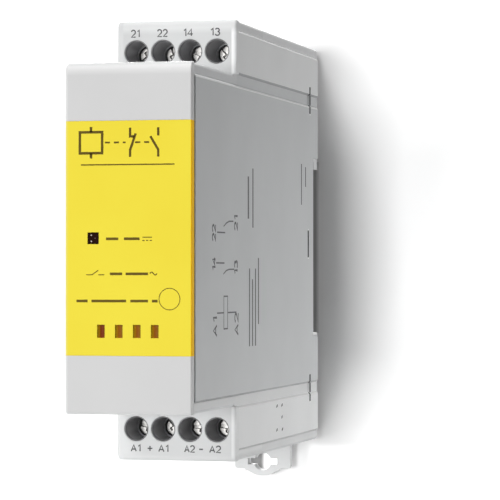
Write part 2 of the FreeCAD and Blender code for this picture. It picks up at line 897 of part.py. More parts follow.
# Every sub-part by name
def sub_parts():
    parts = {
        "housing_shell": housing_shell(),
        "side_cover": side_cover(),
        "front_cover": front_cover(),
        "face_plate": face_plate(),
        "led_lens": led_lens(),
        "rail_clip": rail_clip(),
        "clip_spring": clip_spring(),
        "spring_stop": spring_stop(),
        "circuit_board": circuit_board(),
        "indicator_led": indicator_led(),
        "smoothing_capacitor": smoothing_capacitor(),
        "series_resistor": axial_part("resistor", resistor_radius, resistor_length),
        "suppressor_diode": axial_part("diode", diode_radius, diode_length),
        "relay_base": relay_base(),
        "relay_cover": relay_cover(),
        "relay_pins": relay_pins(),
        "coil_bobbin": coil_bobbin(),
        "coil_winding": coil_winding(),
        "coil_core": coil_core(),
        "yoke": yoke(),
        "armature": armature(),
        "actuator_card": actuator_card(),
    }
    for kind in ("no", "nc"):
        parts[kind + "_moving_blade"] = moving_blade(kind)
        parts[kind + "_moving_contact"] = moving_contact(kind)
        parts[kind + "_fixed_blade"] = fixed_blade(kind)
        parts[kind + "_fixed_contact"] = fixed_contact(kind)
    for row, names in pole_names.items():
        place = below if row == "lower" else Part.Shape.copy
        parts[row + "_terminal_block"] = place(terminal_block())
        parts[row + "_terminal_carrier"] = place(terminal_carrier())
        for number, name in enumerate(names):
            parts["clamp_screw_" + name] = place(clamp_screw(number, screw_turns[row][number]))
            parts["clamp_cage_" + name] = place(clamp_cage(pole_x[number]))
            parts["clamp_tongue_" + name] = place(clamp_tongue(number))
    return parts


os.makedirs("parts", exist_ok=True)
for node, solid in sub_parts().items():
    save(node, solid)
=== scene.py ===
import math

import bmesh
import bpy
import numpy as np
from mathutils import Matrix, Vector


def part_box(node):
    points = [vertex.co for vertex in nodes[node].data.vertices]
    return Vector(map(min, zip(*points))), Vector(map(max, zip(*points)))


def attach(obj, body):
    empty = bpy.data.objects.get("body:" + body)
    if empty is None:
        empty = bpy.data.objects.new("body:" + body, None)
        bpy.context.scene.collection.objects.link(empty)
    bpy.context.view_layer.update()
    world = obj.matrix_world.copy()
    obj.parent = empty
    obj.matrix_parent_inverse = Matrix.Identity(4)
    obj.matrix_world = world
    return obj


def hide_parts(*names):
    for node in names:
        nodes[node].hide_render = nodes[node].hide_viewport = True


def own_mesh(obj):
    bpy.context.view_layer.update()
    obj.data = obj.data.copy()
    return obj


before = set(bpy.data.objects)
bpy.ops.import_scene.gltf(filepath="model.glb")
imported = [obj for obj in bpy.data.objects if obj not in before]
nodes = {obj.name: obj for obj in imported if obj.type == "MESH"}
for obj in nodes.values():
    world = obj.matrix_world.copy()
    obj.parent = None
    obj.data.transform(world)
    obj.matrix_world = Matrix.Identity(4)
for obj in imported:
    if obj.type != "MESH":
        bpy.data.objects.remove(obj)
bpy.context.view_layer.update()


# Housing shell: the light grey body with the left side and the outer walls, injection moulded in
# polyamide with a fine spark-eroded grain. The pegs for the board and the lugs that hold the side
# cover are moulded on inside.
def shown(r, g, b):
    """A colour as a screen shows it, 0 to 255 a channel, as linear light: the channel over 12.92
    near black, and elsewhere its sum with 0.055, over 1.055, to the power 2.4."""
    c = np.clip([r, g, b], 0, 255) / 255
    light = np.where(c <= 0.04045, c / 12.92, ((c + 0.055) / 1.055) ** 2.4)
    return (*light, 1.0)


def new_finish(name):
    """A node material, with its tree, its shader and the piece's own coordinates."""
    finish = bpy.data.materials.new(name)
    finish.use_nodes = True
    tree = finish.node_tree
    place = tree.nodes.new("ShaderNodeTexCoord").outputs["Object"]
    return finish, tree, tree.nodes["Principled BSDF"], place


def feed(tree, socket, value):
    """A pattern goes into a socket by a link, and a number or a colour as its fixed value."""
    if isinstance(value, bpy.types.NodeSocket):
        tree.links.new(value, socket)
    else:
        socket.default_value = value


cloud_low, cloud_high = 0.3, 0.7


def clouds(tree, place, size, detail=2.0):
    """A cloudy pattern with blots of about the given size in metres. Most of it lies between
    cloud_low and cloud_high."""
    node = tree.nodes.new("ShaderNodeTexNoise")
    node.inputs["Scale"].default_value = 1 / size
    node.inputs["Detail"].default_value = detail
    tree.links.new(place, node.inputs["Vector"])
    return node.outputs["Fac"]


def between(tree, pattern, low, high, start=cloud_low, end=cloud_high):
    """Values from low to high, held outside, as a pattern goes from start to end."""
    node = tree.nodes.new("ShaderNodeMapRange")
    node.inputs["From Min"].default_value = start
    node.inputs["From Max"].default_value = end
    node.inputs["To Min"].default_value = low
    node.inputs["To Max"].default_value = high
    tree.links.new(pattern, node.inputs["Value"])
    return node.outputs["Result"]


def sums(tree, operation, first, *others):
    """One kind of sum along a row of patterns and numbers, two at a time."""
    for other in others:
        node = tree.nodes.new("ShaderNodeMath")
        node.operation = operation
        feed(tree, node.inputs[0], first)
        feed(tree, node.inputs[1], other)
        first = node.outputs[0]
    return first


def ways(tree, place):
    """The three coordinates of a place, called X, Y and Z."""
    node = tree.nodes.new("ShaderNodeSeparateXYZ")
    tree.links.new(place, node.inputs[0])
    return node.outputs


def away_from(tree, way, middle):
    """The distance from a middle along one coordinate. The last number isn't used, as a size is
    taken of one value only."""
    return sums(tree, "ABSOLUTE", sums(tree, "SUBTRACT", way, middle), 0.0)


def tones(tree, pattern, *stops):
    """Colours along a pattern, blended between stops of a place on it and a colour."""
    node = tree.nodes.new("ShaderNodeValToRGB")
    strip = node.color_ramp.elements
    strip[0].position = stops[0][0]
    strip[1].position = stops[-1][0]
    for at, _ in stops[1:-1]:
        strip.new(at)
    for element, (_, colour) in zip(strip, stops):
        element.color = shown(*colour)
    tree.links.new(pattern, node.inputs["Fac"])
    return node.outputs["Color"]


def mixed(tree, share, first, second):
    """Two colours, each a pattern or fixed, mixed by the share of the second one. The node's
    sockets for colours come after those for numbers and vectors."""
    node = tree.nodes.new("ShaderNodeMix")
    node.data_type = "RGBA"
    for at, value in ((0, share), (6, first), (7, second)):
        feed(tree, node.inputs[at], value)
    return node.outputs[2]


def band(axis, middle, half, soft, colour):
    """A zone of another colour to both sides of a middle, as far as half its width, with a soft
    border outside that."""
    return axis, middle, half + soft, half, colour


def beyond(axis, start, reach, soft, colour):
    """A zone of another colour further from a start than a reach, with a soft border from
    there on."""
    return axis, start, reach, reach + soft, colour


def tinted(tree, place, pattern, colour, drift, zones):
    """A colour that drifts by a pattern. On a zone's axis it turns to the zone's colour as the
    distance from a place goes from the first to the second value, and later zones lie on top."""

    def drifting(tone):
        dark, light = np.array(tone) - drift, np.array(tone) + drift
        return tones(tree, pattern, (cloud_low, dark), (cloud_high, light))

    tint = drifting(colour)
    coordinates = ways(tree, place)
    for axis, middle, start, end, other in zones:
        share = between(tree, away_from(tree, coordinates[axis], middle), 0.0, 1.0, start, end)
        tint = mixed(tree, share, tint, drifting(other))
    return tint


def relief(tree, shader, edge, *layers):
    """A surface of layers, each a pattern and its height, over edges rounded to a radius."""
    normal = None
    if edge:
        bevel = tree.nodes.new("ShaderNodeBevel")
        bevel.samples = 6
        bevel.inputs["Radius"].default_value = edge
        normal = bevel.outputs["Normal"]
    for pattern, height in layers:
        bump = tree.nodes.new("ShaderNodeBump")
        bump.inputs["Distance"].default_value = height
        tree.links.new(pattern, bump.inputs["Height"])
        if normal:
            tree.links.new(normal, bump.inputs["Normal"])
        normal = bump.outputs["Normal"]
    tree.links.new(normal, shader.inputs["Normal"])


def moulded(
    name, colour, drift=3, grain=0.00025, rough=(0.5, 0.62), edge=0.0002, zones=(), shine=0.5
):
    """Moulded plastic: a slow drift of tone, shallow sink marks, a fine grain and soft edges."""
    sink_size, sink_detail, sink_depth, grain_depth = 0.018, 5.0, 0.00003, 0.000004
    finish, tree, shader, place = new_finish(name)
    slow = clouds(tree, place, sink_size, sink_detail)
    fine = clouds(tree, place, grain)
    tree.links.new(tinted(tree, place, slow, colour, drift, zones), shader.inputs["Base Color"])
    tree.links.new(between(tree, fine, *rough), shader.inputs["Roughness"])
    shader.inputs["Specular IOR Level"].default_value = shine
    relief(tree, shader, edge, (slow, sink_depth), (fine, grain_depth))
    return finish


def dress(finish, *names):
    """The finish goes on each of these CAD nodes."""
    for name in names:
        mesh = nodes[name].data
        mesh.materials.clear()
        mesh.materials.append(finish)


# Painted light: the right-hand rim of the shell beside the side cover is a lighter grey, a painted
# highlight.
shell_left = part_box("housing_shell")[0].x
rim_reach, rim_painted_highlight = 0.02201, (240, 241, 241)
snap_wall_z, snap_wall_half, snap_wall_grey = 0.0297, 0.0048, (214, 215, 216)
rim_zones = [
    beyond("X", shell_left, rim_reach, 0.00007, rim_painted_highlight),
    band("Z", snap_wall_z, snap_wall_half, 0.0002, snap_wall_grey),
]
housing_grey = moulded("housing grey", (210, 211, 212), zones=rim_zones)
dress(housing_grey, "housing_shell")


# Circuit board: green lacquered glass-fibre laminate on four pegs of the shell, with copper
# tracks that show paler through the lacquer, running up in some places and across in others.
def lacquered_board(name):
    """Lacquer over copper tracks, which are waves along y, or along z where a cloudy pattern is
    above its middle. A wave texture of scale 1 repeats every 0.314 m."""
    wave_period, track_pitch, patch_size, weave_size = 0.314, 0.0025, 0.012, 0.0004
    track_height, weave_height = 0.00003, 0.000006
    finish, tree, shader, place = new_finish(name)
    tracks = []
    for direction in ("Y", "Z"):
        track = tree.nodes.new("ShaderNodeTexWave")
        track.bands_direction = direction
        track.inputs["Scale"].default_value = wave_period / track_pitch
        tree.links.new(place, track.inputs["Vector"])
        tracks.append(track.outputs["Fac"])
    weave = clouds(tree, place, weave_size)
    across = between(tree, clouds(tree, place, patch_size), 0.0, 1.0, 0.49, 0.51)
    upright = sums(tree, "SUBTRACT", 1.0, across)
    shares = [sums(tree, "MULTIPLY", *pair) for pair in zip(tracks, (upright, across))]
    copper = sums(tree, "ADD", *shares)
    lacquer = tones(tree, copper, (0.0, (30, 84, 54)), (0.62, (34, 90, 58)), (0.7, (62, 128, 78)))
    tree.links.new(lacquer, shader.inputs["Base Color"])
    tree.links.new(between(tree, weave, 0.28, 0.42), shader.inputs["Roughness"])
    relief(tree, shader, 0.0, (copper, track_height), (weave, weave_height))
    return finish


dress(lacquered_board("board green"), "circuit_board")


# Parts on the board: a white indicator, a blue sleeved capacitor with a bare can top, a beige
# resistor with its colour rings and a black diode with a pale end ring, on tinned wire leads.
tin = (188, 188, 186)
gloss = (0.25, 0.38)
crisp_edge = 0.0001
dress(moulded("indicator body", (226, 224, 214), rough=gloss, edge=crisp_edge), "indicator_led")

can_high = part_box("smoothing_capacitor")[1]
bare_top, sleeve_length, stripe_width = 0.0003, 0.01095, 0.0011
sleeve_zones = [
    band("X", can_high.x, bare_top, 0.0001, (198, 200, 202)),
    beyond("X", can_high.x, sleeve_length, 0.00005, tin),
    band("Z", can_high.z, stripe_width, 0.0001, (196, 202, 212)),
]
dress(
    moulded("capacitor sleeve", (34, 52, 92), rough=gloss, edge=crisp_edge, zones=sleeve_zones),
    "smoothing_capacitor",
)


def middle_y(name):
    """The middle of a node's box from front to back."""
    low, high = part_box(name)
    return (low.y + high.y) / 2


resistor_y = middle_y("series_resistor")
resistor_half, colour_ring_half = 0.00448, 0.0004
colour_rings = [
    (-0.0026, (120, 66, 30)),
    (-0.0010, (26, 26, 28)),
    (0.0006, (186, 38, 30)),
    (0.0026, (190, 150, 60)),
]
ring_zones = [
    band("Y", resistor_y + at, colour_ring_half, 0.00005, colour) for at, colour in colour_rings
]
ring_zones.append(beyond("Y", resistor_y, resistor_half, 0.00002, tin))
dress(
    moulded("resistor lacquer", (198, 172, 130), rough=gloss, edge=crisp_edge, zones=ring_zones),
    "series_resistor",
)

diode_y = middle_y("suppressor_diode")
diode_half, end_ring, end_ring_half = 0.00248, 0.0017, 0.0003
diode_zones = [
    band("Y", diode_y + end_ring, end_ring_half, 0.00005, (206, 206, 204)),
    beyond("Y", diode_y, diode_half, 0.00002, tin),
]
dress(
    moulded("diode body", (32, 32, 34), rough=(0.35, 0.5), edge=crisp_edge, zones=diode_zones),
    "suppressor_diode",
)


# Inner relay: a grey base under a smoked cover, with the magnet and the two guided contacts in
# it. The iron is nickel plated, the blades are rolled bronze with riveted silver contacts, and a
# white card ties the two moving blades together.
def metal(name, colour, drift=8, size=0.0006, rough=(0.25, 0.4), edge=crisp_edge):
    """Bare or plated metal: a fine drift of tone and gloss over a faintly uneven skin."""
    skin_detail, skin_depth = 4.0, 0.000003
    finish, tree, shader, place = new_finish(name)
    fine = clouds(tree, place, size, skin_detail)
    shader.inputs["Metallic"].default_value = 1.0
    tree.links.new(tinted(tree, place, fine, colour, drift, ()), shader.inputs["Base Color"])
    tree.links.new(between(tree, fine, *rough), shader.inputs["Roughness"])
    relief(tree, shader, edge, (fine, skin_depth))
    return finish


relay_smoke = moulded("smoked relay cover", (168, 174, 178), rough=(0.12, 0.22), edge=crisp_edge)
relay_smoke.node_tree.nodes["Principled BSDF"].inputs["Transmission Weight"].default_value = 0.8
plated_iron = metal("plated iron", (150, 148, 142))
rolled_bronze = metal("rolled bronze", (186, 140, 84))
contact_silver = metal("contact silver", (214, 212, 206), rough=(0.2, 0.35))
bobbin_white = moulded("bobbin white", (232, 230, 222), edge=crisp_edge)
dress(moulded("relay base grey", (96, 100, 104), edge=crisp_edge), "relay_base")
dress(relay_smoke, "relay_cover")
dress(metal("tinned pins", (190, 190, 188), rough=(0.3, 0.4)), "relay_pins")
dress(bobbin_white, "coil_bobbin", "actuator_card")
dress(plated_iron, "coil_core", "yoke", "armature")
for kind in ("no", "nc"):
    dress(rolled_bronze, kind + "_moving_blade", kind + "_fixed_blade")
    dress(contact_silver, kind + "_moving_contact", kind + "_fixed_contact")


# Coil winding: enamelled copper wire, wound in close turns between the flanges of the bobbin,
# which hold it.
def new_piece(name, points, faces, finish):
    """A new object at the origin, from points, the faces between them and a finish."""
    mesh = bpy.data.meshes.new(name)
    mesh.from_pydata(points.reshape(-1, 3).tolist(), [], faces)
    mesh.materials.append(finish)
    piece = bpy.data.objects.new(name, mesh)
    bpy.context.scene.collection.objects.link(piece)
    return piece


def skin(name, rings, finish, body, closed):
    """A piece from rows of rings, each row one ring of points that runs round to its start. The
    last ring joins the first one, or else each end has a flat cap."""
    rows, columns = rings.shape[:2]
    i = np.arange(rows if closed else rows - 1)[:, None]
    j = np.arange(columns)[None, :]
    here, above = i * columns, (i + 1) % rows * columns
    beside = (j + 1) % columns
    quads = np.stack([here + j, here + beside, above + beside, above + j], axis=-1).reshape(-1, 4)
    faces = quads.tolist()
    if not closed:
        cap = np.arange(columns)
        faces += [cap[::-1].tolist(), (cap + (rows - 1) * columns).tolist()]
    piece = new_piece(name, rings, faces, finish)
    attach(piece, body)
    return piece


def wound_wire(low, high, bore, turns):
    """Turns of wire round an upright axis: the outer radius drops between the turns by half a wire
    times one less the size of the sine of pi times the turns passed, by height and by angle."""
    rows_a_turn, columns = 8, 48
    z = np.linspace(low.z, high.z, turns * rows_a_turn + 1)[:, None]
    angle = np.linspace(0, 2 * np.pi, columns, endpoint=False)[None, :]
    passed = turns * (z - low.z) / (high.z - low.z) + angle / (2 * np.pi)
    wire = (high.z - low.z) / turns
    radius = (high.x - low.x) / 2 - wire / 2 * (1 - np.abs(np.sin(np.pi * passed)))
    ends = np.full((1, columns), bore)
    radius = np.vstack([ends, radius, ends])
    z = np.vstack([z[:1], z, z[-1:]])
    x = (low.x + high.x) / 2 + radius * np.cos(angle)
    y = (low.y + high.y) / 2 + radius * np.sin(angle)
    return np.stack([x, y, z + 0 * radius], axis=-1)


def cad_points(name):
    """The points of a CAD node's mesh, one row each."""
    mesh = nodes[name].data
    points = np.zeros(len(mesh.vertices) * 3)
    mesh.vertices.foreach_get("co", points)
    return points.reshape(-1, 3)


winding_low, winding_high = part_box("coil_winding")
winding_middle = np.array([winding_low.x + winding_high.x, winding_low.y + winding_high.y]) / 2
winding_bore = np.linalg.norm(cad_points("coil_winding")[:, :2] - winding_middle, axis=1).min()
winding_turns = 40
winding_rings = wound_wire(winding_low, winding_high, winding_bore, winding_turns)
enamel = metal("enamelled copper", (158, 84, 44), rough=(0.25, 0.35), edge=0.0)
dress(enamel, "coil_winding")
winding = skin("wound_coil", winding_rings, enamel, "housing", closed=True)
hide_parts("coil_winding")


# Terminal carriers: grey mouldings behind the terminal fronts, with a screw tunnel and a clamp
# chamber for each pole. Their thin collars fill the holes in the fronts. Their front 0.3 mm is
# painted dark grey, painted shade at the rims of the holes; the tunnels further in are lighter.
terminal_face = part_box("upper_terminal_block")[0].y
collar_depth, collar_fade, collar_grey = 0.0003, 0.0009, (192, 192, 194)
carrier_grey_rim_shade = moulded(
    "carrier grey painted rim shade",
    (100, 100, 102),
    rough=(0.4, 0.5),
    edge=0.0,
    zones=[beyond("Y", terminal_face, collar_depth, collar_fade, collar_grey)],
)
dress(carrier_grey_rim_shade, "upper_terminal_carrier", "lower_terminal_carrier")


# Clamps: zinc-plated screws with a slotted cross and a rolled thread, pressed steel cages that
# rise on them, and tinned brass tongues that run to the board.
screw_zinc = metal(
    "screw zinc", (150, 149, 147), drift=10, size=0.0004, rough=(0.3, 0.46), edge=0.00008
)
cage_zinc = metal("cage zinc", (170, 170, 166), rough=(0.3, 0.45))
tongue_tin = metal("tongue tin", (196, 186, 150), rough=(0.3, 0.42))


def rolled_thread(x, z, start, end, crest, pitch):
    """A thread along a shank: the radius is the crest's, less 0.27 of the pitch times one less the
    cosine of a full turn for each turn passed, by length and by angle. Over the last pitch it also
    drops by 0.6 of the length passed, for the tip."""
    rows_a_turn, columns, depth_share, tip_slope = 8, 32, 0.27, 0.6
    y = np.linspace(start, end, round((end - start) / pitch) * rows_a_turn + 1)[:, None]
    angle = np.linspace(0, 2 * np.pi, columns, endpoint=False)[None, :]
    groove = depth_share * pitch * (1 - np.cos(2 * np.pi * (y / pitch) + angle))
    radius = crest - groove - np.maximum(y - end + pitch, 0) * tip_slope
    points = [x + radius * np.cos(angle), y + 0 * angle, z - radius * np.sin(angle)]
    return np.stack(points, axis=-1)


def threaded_screw(pole):
    """A clamp screw: the head of the CAD screw, closed where its plain shank began, and a thread
    that starts a little inside the head."""
    head_height, past_head, into_head, thread_pitch = 0.002, 0.0001, 0.00005, 0.0005
    weld, crease = 0.000001, math.radians(35)
    low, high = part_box("clamp_screw_" + pole)
    head_end = low.y + head_height
    cad_mesh = nodes["clamp_screw_" + pole].data
    corners = np.zeros(len(cad_mesh.loops), int)
    cad_mesh.loops.foreach_get("vertex_index", corners)
    triangles = cad_points("clamp_screw_" + pole)[corners].reshape(-1, 3, 3)
    in_head = (triangles[:, :, 1] < head_end + past_head).all(axis=1)
    x, z = (low.x + high.x) / 2, (low.z + high.z) / 2
    shank_points = triangles[~in_head].reshape(-1, 3)
    crest = np.linalg.norm(shank_points[:, [0, 2]] - (x, z), axis=1).max()
    thread = rolled_thread(x, z, head_end - into_head, high.y, crest, thread_pitch)
    piece = skin("threaded_screw_" + pole, thread, screw_zinc, "screw_" + pole, closed=False)
    head = bpy.data.meshes.new("screw head " + pole)
    head_points = triangles[in_head].reshape(-1, 3)
    head_faces = np.arange(len(head_points)).reshape(-1, 3)
    head.from_pydata(head_points.tolist(), [], head_faces.tolist())
    whole = bmesh.new()
    whole.from_mesh(head)
    bmesh.ops.remove_doubles(whole, verts=whole.verts, dist=weld)
    bmesh.ops.holes_fill(whole, edges=whole.edges)
    bmesh.ops.recalc_face_normals(whole, faces=whole.faces)
    whole.from_mesh(piece.data)
    whole.to_mesh(piece.data)
    whole.free()
    piece.data.shade_smooth()
    piece.data.set_sharp_from_angle(angle=crease)
    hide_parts("clamp_screw_" + pole)


for name in list(nodes):
    if name.startswith("clamp_screw_"):
        dress(screw_zinc, name)
        threaded_screw(name.removeprefix("clamp_screw_"))
    if name.startswith("clamp_cage"):
        dress(cage_zinc, name)
    if name.startswith("clamp_tongue"):
        dress(tongue_tin, name)


# Terminal blocks: the light grey fronts and roofs over the clamps, moulded with the screw holes
# and the wire entries. The terminal numbers are pad printed in grey above and below the holes.
block_low, block_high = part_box("upper_terminal_block")
flank_reach, lip_reach, left_edge_reach = 0.02155, 0.0383, 0.0212
left_edge_painted_highlight = (215, 216, 216)
# Painted light: the two fronts get different greys, set to even out the top light on the upper
# block and the hood's shade on the lower one. The right flank is a painted highlight, the lip is
# painted lighter at the roof of the upper block and darker at the foot of the lower one, and the
# left edge gets a set grey, a painted highlight on the upper block.
for level, face, flank, lip in (
    ("upper", (207, 208, 208), (243, 244, 244), (223, 224, 224)),
    ("lower", (217, 218, 218), (236, 237, 237), (208, 209, 209)),
):
    painted_light_zones = [
        beyond("X", block_low.x, flank_reach, 0.0001, flank),
        beyond("Z", 0.0, lip_reach, 0.001, lip),
        beyond("X", block_high.x, left_edge_reach, 0.0004, left_edge_painted_highlight),
    ]
    terminal_grey = moulded(level + " terminal grey", face, drift=2, zones=painted_light_zones)
    dress(terminal_grey, level + "_terminal_block")


curve_points = 15


def arc(x, y, r, start, end):
    """Points on a circle about x, y from one angle to another, in degrees."""
    t = np.radians(np.linspace(start, end, curve_points))
    return np.stack([x + r * np.cos(t), y + r * np.sin(t)], axis=1)


# Lines of each sign, drawn with a height of 1
signs = {
    "1": [[(0.08, 0.78), (0.34, 1.0), (0.34, 0.0)]],
    "2": [np.vstack([arc(0.31, 0.69, 0.31, 165, -38), [(0.0, 0.0), (0.66, 0.0)]])],
    "3": [np.vstack([arc(0.29, 0.76, 0.24, 160, -75), arc(0.29, 0.27, 0.28, 75, -160)])],
    "4": [[(0.5, 0.0), (0.5, 1.0), (0.0, 0.28), (0.68, 0.28)]],
    "A": [[(0.0, 0.0), (0.36, 1.0), (0.72, 0.0)], [(0.12, 0.33), (0.6, 0.33)]],
    "+": [[(0.0, 0.35), (0.7, 0.35)], [(0.35, 0.0), (0.35, 0.7)]],
}


def stroke(line, width):
    """A flat line of even width. Its edges lie half the width to each side of the path, along
    the mean of the two normals, longer at a corner by one over the cosine of half the turn. A
    sharp corner is held back, as the square of the mean counts for 0.3 at least."""
    least_square = 0.3
    p = np.asarray(line, float)
    d = np.diff(p, axis=0)
    d /= np.linalg.norm(d, axis=1, keepdims=True)
    n = np.stack([-d[:, 1], d[:, 0]], axis=1)
    mean = (np.vstack([n[:1], n]) + np.vstack([n, n[-1:]])) / 2
    square = np.maximum((mean**2).sum(axis=1, keepdims=True), least_square)
    side = mean / square * width / 2
    return np.stack([p + side, p - side], axis=1).reshape(-1, 2)


def number_lines(text, left, right, low, high, width):
    """A row of signs, drawn with lines of one width and stretched to fill a box."""
    sign_gap = 0.24
    lines, x = [], 0.0
    for sign in text:
        shapes = [np.asarray(shape, float) + (x, 0.0) for shape in signs[sign]]
        lines += shapes
        x = max(shape[:, 0].max() for shape in shapes) + sign_gap
    points = np.vstack(lines)
    start, end = points.min(axis=0), points.max(axis=0)
    room = np.array([right - left, high - low]) - width
    corner = np.array([left, low]) + width / 2
    return [stroke((line - start) / (end - start) * room + corner, width) for line in lines]


def printed(name, strokes, lay, ink):
    """Ink on a face: each flat line, drawn in millimetres, is a strip of quads, laid on the face
    and 0.02 mm thick."""
    starts = np.cumsum([0] + [len(strip) for strip in strokes])
    firsts = [np.arange(0, len(strip) - 2, 2) + at for strip, at in zip(strokes, starts)]
    first = np.concatenate(firsts)[:, None]
    quads = np.hstack([first, first + 1, first + 3, first + 2])
    piece = new_piece(name, lay(np.vstack(strokes)) / 1000, quads.tolist(), ink)
    coat = piece.modifiers.new("ink coat", "SOLIDIFY")
    coat.thickness = 0.00002
    coat.offset = 1.0
    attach(piece, "housing")


def print_ink(name, colour, shine):
    """Dull ink with an uneven tone and no soft edges."""
    return moulded(name, colour, drift=8, grain=0.0002, edge=0.0, shine=shine)


def on_front(y):
    """Puts print on a face that looks to the front, at a depth in metres."""
    return lambda p: np.stack([p[:, 0], np.full(len(p), y * 1000), p[:, 1]], axis=1)


number_ink = print_ink("number ink", (92, 92, 93), shine=0.2)
number_line, minus_line = 0.24, 0.26
upper_row, lower_row = (37.75, 39.25), (-38.05, -36.65)
plus_row, minus_z = (-37.95, -36.8), -37.4
upper_strokes, lower_strokes = [], []
for strokes, row, texts in (
    (
        upper_strokes,
        upper_row,
        [("21", -8.7, -6.97), ("22", -3.71, -1.62), ("14", 1.28, 3.17), ("13", 6.39, 8.23)],
    ),
    (
        lower_strokes,
        lower_row,
        [("A1", -8.69, -6.78), ("A1", -3.46, -1.49), ("A2", 1.44, 3.54), ("A2", 6.17, 8.46)],
    ),
    (lower_strokes, plus_row, [("+", -5.59, -4.44)]),
):
    for text, left, right in texts:
        strokes += number_lines(text, left, right, *row, number_line)
lower_strokes.append(stroke([(4.29, minus_z), (5.01, minus_z)], minus_line))
printed("upper_terminal_numbers", upper_strokes, on_front(terminal_face), number_ink)
printed("lower_terminal_numbers", lower_strokes, on_front(terminal_face), number_ink)


# Side cover: the light grey right side with three raised fields, moulded like the shell and
# dropped into its rebate, where the lugs in the three narrow slots hold it. Its connection
# diagram and a few plain lines of print are pad printed in dark grey on the main field.
cover_middle, main_half, end_field_grey = 0.0006, 0.0302, (240, 241, 241)
upper_edge, lower_field_reach, lower_field_grey = 0.0387, 0.0662, (228, 229, 229)
cover_zones = [
    beyond("Z", upper_edge, lower_field_reach, 0.0001, lower_field_grey),
    beyond("Z", cover_middle, main_half, 0.0002, end_field_grey),
]
# Painted highlights on the upper flanks of the fields, and painted shade on the lower ones
flank_painted_highlight, shaded_flank_half = (252, 253, 253), 0.00017
for z, half in ((0.038695, 0.00022), (0.02852, 0.00018), (-0.029775, 0.00022)):
    cover_zones.append(band("Z", z, half, 0.00008, flank_painted_highlight))
for z, flank_shade in ((0.030975, 148), (-0.027495, 160), (-0.037495, 196)):
    cover_zones.append(band("Z", z, shaded_flank_half, 0.00004, (flank_shade, flank_shade + 1, flank_shade + 2)))
cover_grey = moulded("side cover grey", (208, 210, 211), zones=cover_zones)
dress(cover_grey, "side_cover")


def paint_shade_in(finish, colour, pockets):
    """Turns a finish to a colour in boxes, each a middle and its three half sizes. A place is in a
    box where none of its three distances from the middle is past the half size there, with a
    border that is soft over 0.03 mm."""
    soft = 0.00003
    tree = finish.node_tree
    base = tree.nodes["Principled BSDF"].inputs["Base Color"]
    coordinates = ways(tree, tree.nodes["Texture Coordinate"].outputs["Object"])
    for middle, half in pockets:
        outside = 0.0
        for way, at, reach in zip(coordinates, middle, half):
            past = between(tree, away_from(tree, way, at), 0.0, 1.0, reach, reach + soft)
            outside = sums(tree, "MAXIMUM", past, outside)
        tint = mixed(tree, outside, shown(*colour), base.links[0].from_socket)
        tree.links.new(tint, base)


# Painted shade: the walls of the snap slots in the cover and the lugs in them are turned dark.
slot_painted_shade = (100, 101, 102)
slot_x, slot_half = 0.0106, (0.0006, 0.00053, 0.00273)
lug_x, lug_half = 0.0103, (0.00055, 0.00055, 0.00275)
snap_places = [(-0.0036, 0.02981), (-0.0052, 0.0006), (-0.0036, -0.02869)]
paint_shade_in(cover_grey, slot_painted_shade, [((slot_x, y, z), slot_half) for y, z in snap_places])
paint_shade_in(housing_grey, slot_painted_shade, [((lug_x, y, z), lug_half) for y, z in snap_places])


def turned(strokes):
    """Strokes turned a quarter to the left, so that a number reads upwards."""
    return [np.stack([-s[:, 1], s[:, 0]], axis=1) for s in strokes]


side_number_line, diagram_line = 0.42, 0.24
side_strokes = []
for text, z0, z1, back, front in [
    ("22", 0.18, 3.35, 79.0, 81.6),
    ("21", 2.3, 5.2, 63.3, 66.0),
    ("14", -4.93, -2.43, 79.1, 81.5),
    ("13", -5.6, -3.0, 63.3, 66.0),
    ("A1", -16.6, -13.0, 78.1, 80.9),
    ("A2", -16.7, -12.4, 62.8, 65.7),
]:
    side_strokes += turned(number_lines(text, z0, z1, back, front, side_number_line))
diagram = [
    # Opening contact
    [(-78.1, 1.85), (-72.5, 1.85)],
    [(-73.5, 2.97), (-71.6, 3.6), (-69.5, 3.94), (-66.6, 3.99)],
    # Closing contact
    [(-78.7, -3.57), (-73.0, -3.57)],
    [(-73.7, -5.5), (-71.6, -4.9), (-69.5, -4.68), (-66.0, -4.67)],
    # Coil and its leads
    [(-73.4, -12.4), (-73.4, -9.5), (-70.7, -9.5), (-70.7, -15.3), (-73.4, -15.3), (-73.4, -12.4)],
    [(-78.1, -12.43), (-73.4, -12.43)],
    [(-70.7, -12.43), (-64.4, -12.43)],
]
side_strokes += [stroke(line, diagram_line) for line in diagram]
# Plain lines of print
for y, z0, z1, width in [
    (-55.4, 4.7, 12.5, 0.9),
    (-51.9, 3.1, 14.1, 0.7),
    (-11.4, 8.4, 16.6, 0.6),
    (-7.7, 12.1, 16.1, 0.6),
    (-54.5, -18.9, -4.5, 0.7),
    (-52.2, -18.9, -6.5, 0.7),
    (-49.9, -18.9, -4.5, 0.7),
    (-47.6, -14.9, -2.5, 0.7),
]:
    side_strokes.append(stroke([(y, z0), (y, z1)], width))
# Small marks on the lower field, each a short slanting line
mark_line, mark_reach = 0.45, np.array([0.5, 0.15])
for mark in [(-32.6, -31.0), (-28.4, -31.0), (-28.4, -33.3), (-32.6, -35.6), (-28.0, -35.7)]:
    side_strokes.append(stroke([mark - mark_reach, mark + mark_reach], mark_line))
side_ink = print_ink("side print ink", (88, 88, 90), shine=0.2)
side_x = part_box("side_cover")[1].x * 1000


def on_side(p):
    """Puts print on the flat of the side cover."""
    return np.stack([np.full(len(p), side_x), p[:, 0], p[:, 1]], axis=1)


printed("side_print", side_strokes, on_side, side_ink)
# Ends of the snap slots, drawn as short bright strokes across them
end_line, end_half = 0.28, 0.45
slot_ends = [(-3.6, 26.97), (-5.2, 3.48), (-5.2, -2.28), (-3.6, -31.53)]
end_strokes = [stroke([(y - end_half, z), (y + end_half, z)], end_line) for y, z in slot_ends]
end_bright = moulded("slot end bright", (248, 249, 249), drift=2, edge=0.0)
printed("slot_ends", end_strokes, on_side, end_bright)


